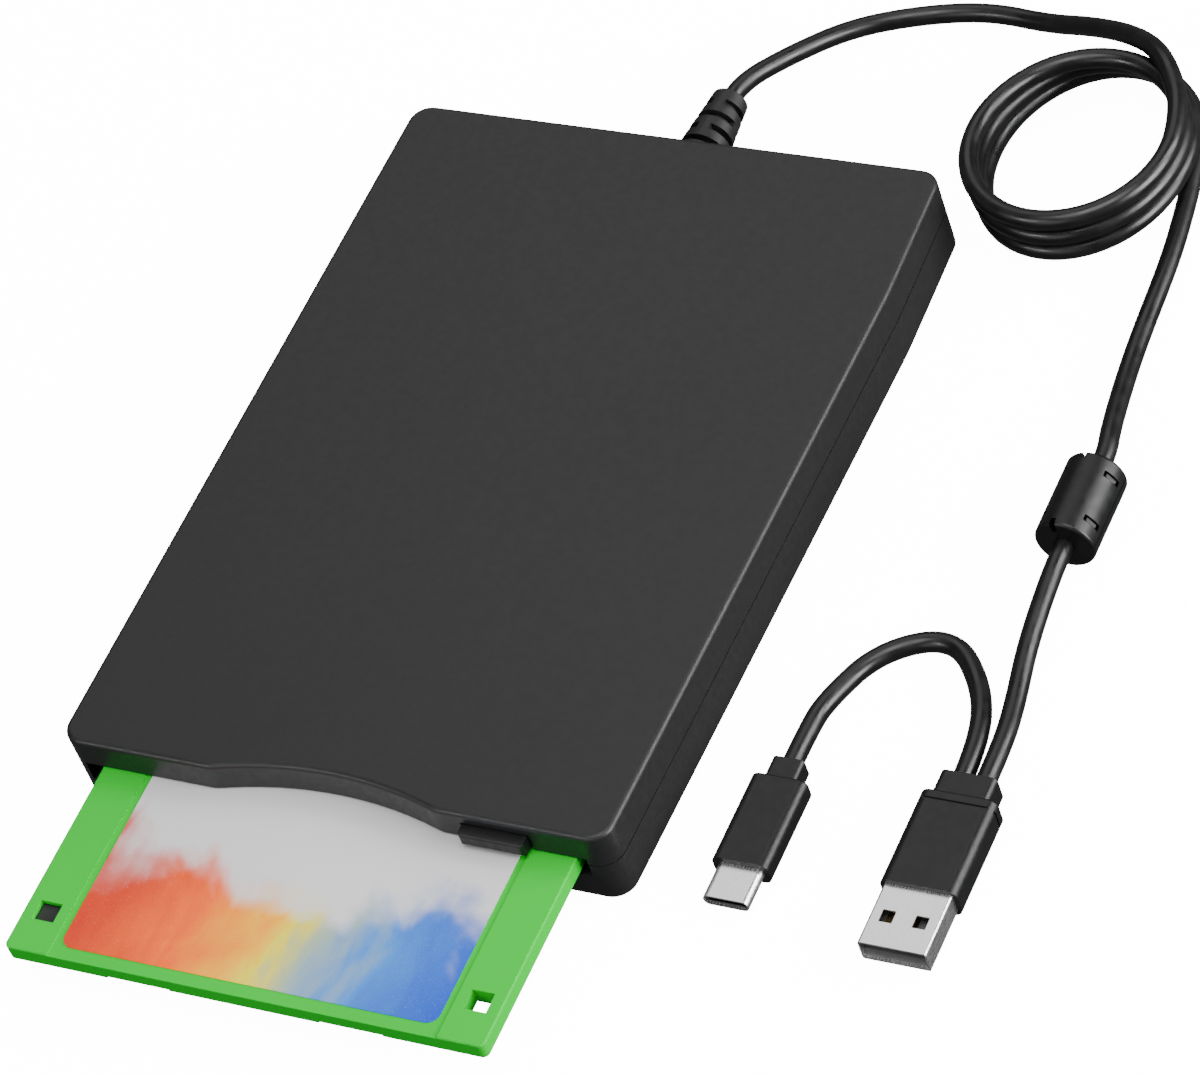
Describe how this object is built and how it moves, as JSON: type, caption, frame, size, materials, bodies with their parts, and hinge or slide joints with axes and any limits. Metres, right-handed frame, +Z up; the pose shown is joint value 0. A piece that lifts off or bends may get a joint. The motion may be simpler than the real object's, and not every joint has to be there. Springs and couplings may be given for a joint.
{
  "type": "external floppy disk drive",
  "caption": "Flat external floppy disk drive with a diskette part way in its front slot, an eject button and a coiled USB cord with two plugs.",
  "frame": {"origin": "on the surface the drive stands on, under the middle of the case's plan", "axes": "+X to the right seen from the disk slot, +Y from the slot to the cord's end of the case, +Z up"},
  "size_m": [0.1589, 0.2394, 0.0166],
  "materials": {
    "case_plastic": "fine grain",
    "button_plastic": "satin",
    "foot_rubber": "matte",
    "screw_steel": "black oxide",
    "sheet_steel": "zinc plated",
    "spring_steel": "bright",
    "turned_steel": "turned",
    "board": "solder mask",
    "black_parts": "moulded",
    "pale_parts": "moulded",
    "winding": "enamelled copper",
    "bearing_bronze": "sintered",
    "cast_alloy": "cast",
    "head_ceramic": "polished",
    "disk_plastic": "satin",
    "tab_plastic": "satin",
    "shutter_metal": "brushed",
    "media_film": "coated film",
    "liner_fabric": "non-woven",
    "label_paper": "coated paper",
    "cord_jacket": "soft jacket",
    "plug_plastic": "moulded",
    "ferrite": "sintered",
    "plug_metal": "nickel plated",
    "tongue_plastic": "moulded",
    "contact_gold": "gold plated"
  },
  "bodies": {
    "case": {"top_cover": "case_plastic", "bottom_cover": "case_plastic", "rubber_feet": "foot_rubber", "strain_relief": "foot_rubber", "case_screws": "screw_steel", "mech_screws": "screw_steel", "chassis": "sheet_steel", "top_shield": "sheet_steel", "slide_springs": "spring_steel", "lever_spring": "spring_steel", "lever_post": "turned_steel", "guide_rod": "turned_steel", "stepper_motor": "turned_steel", "motor_board": "board", "control_board": "board", "usb_board": "board", "sensor_switches": "black_parts", "board_chips": "black_parts", "usb_chips": "black_parts", "usb_header": "pale_parts", "ribbon_cable": "pale_parts", "stator": "winding", "spindle_bearing": "bearing_bronze", "cord_lead": "cord_jacket", "cord_in": "cord_jacket", "cord_coil": "cord_jacket", "cord_out": "cord_jacket", "cord_middle": "cord_jacket", "cord_tail": "cord_jacket", "cord_branch": "cord_jacket", "ferrite_housing": "plug_plastic", "plug_a_molding": "plug_plastic", "plug_c_molding": "plug_plastic", "plug_c_insert": "plug_plastic", "ferrite_core": "ferrite", "plug_a_shell": "plug_metal", "plug_c_shell": "plug_metal", "plug_a_tongue": "tongue_plastic", "plug_a_contacts": "contact_gold"},
    "eject": {"eject_slide": "sheet_steel", "eject_button": "button_plastic"},
    "holder": {"disk_holder": "sheet_steel"},
    "diskette": {"disk_shell_top": "disk_plastic", "disk_shell_bottom": "disk_plastic", "disk_liners": "liner_fabric", "disk_label": "label_paper", "shutter_spring": "spring_steel"},
    "media": {"magnetic_disk": "media_film", "disk_hub": "shutter_metal"},
    "shutter": {"disk_shutter": "shutter_metal"},
    "tab": {"write_tab": "tab_plastic"},
    "spindle": {"spindle_rotor": "turned_steel", "spindle_hub": "cast_alloy"},
    "screw": {"lead_screw": "turned_steel"},
    "carriage": {"head_carriage": "cast_alloy", "lower_head": "head_ceramic", "arm_spring": "spring_steel"},
    "arm": {"head_arm": "cast_alloy", "upper_head": "head_ceramic"},
    "lever": {"shutter_lever": "sheet_steel"}
  },
  "joints": [
    {"name": "eject_travel", "type": "slide", "parent": "case", "child": "eject", "axis": [0, 1, 0], "range_m": [-0.0025, 0], "deforming": ["slide_springs"]},
    {"name": "holder_drop", "type": "slide", "parent": "case", "child": "holder", "axis": [0, 0, -1], "range_m": [0, 0.0008]},
    {"name": "disk_slide", "type": "slide", "parent": "holder", "child": "diskette", "axis": [0, 1, 0], "range_m": [-0.05, 0.04]},
    {"name": "media_spin", "type": "hinge", "parent": "diskette", "child": "media", "pos_m": [0, -0.0642, 0.00891], "axis": [0, 0, 1], "continuous": true},
    {"name": "shutter_slide", "type": "slide", "parent": "diskette", "child": "shutter", "axis": [1, 0, 0], "range_m": [0, 0.013], "stiffness_N_per_m": 20, "springref_m": -0.003},
    {"name": "tab_slide", "type": "slide", "parent": "diskette", "child": "tab", "axis": [0, 1, 0], "range_m": [0, 0.0039]},
    {"name": "spindle_spin", "type": "hinge", "parent": "case", "child": "spindle", "pos_m": [0, -0.0242, 0.005], "axis": [0, 0, 1], "continuous": true},
    {"name": "screw_turn", "type": "hinge", "parent": "case", "child": "screw", "pos_m": [0.0065, 0.0363, 0.0082], "axis": [0, 1, 0], "range_deg": [-900, 900]},
    {"name": "carriage_slide", "type": "slide", "parent": "case", "child": "carriage", "axis": [0, 1, 0], "range_m": [-0.0074, 0.0074]},
    {"name": "arm_lift", "type": "hinge", "parent": "carriage", "child": "arm", "pos_m": [0, 0.0371, 0.0112], "axis": [-1, 0, 0], "range_deg": [0, 2], "stiffness_Nm_per_rad": 0.05, "springref_deg": -5.73},
    {"name": "lever_swing", "type": "hinge", "parent": "case", "child": "lever", "pos_m": [-0.038, 0.0363, 0.0082], "axis": [0, 0, 1], "range_deg": [0, 25], "stiffness_Nm_per_rad": 0.01, "springref_deg": -11.46}
  ],
  "couplings": [
    {"joint": "holder_drop", "follows": "eject_travel", "ratio": -0.3199},
    {"joint": "screw_turn", "follows": "carriage_slide", "rad_per_m": -2094.4}
  ]
}
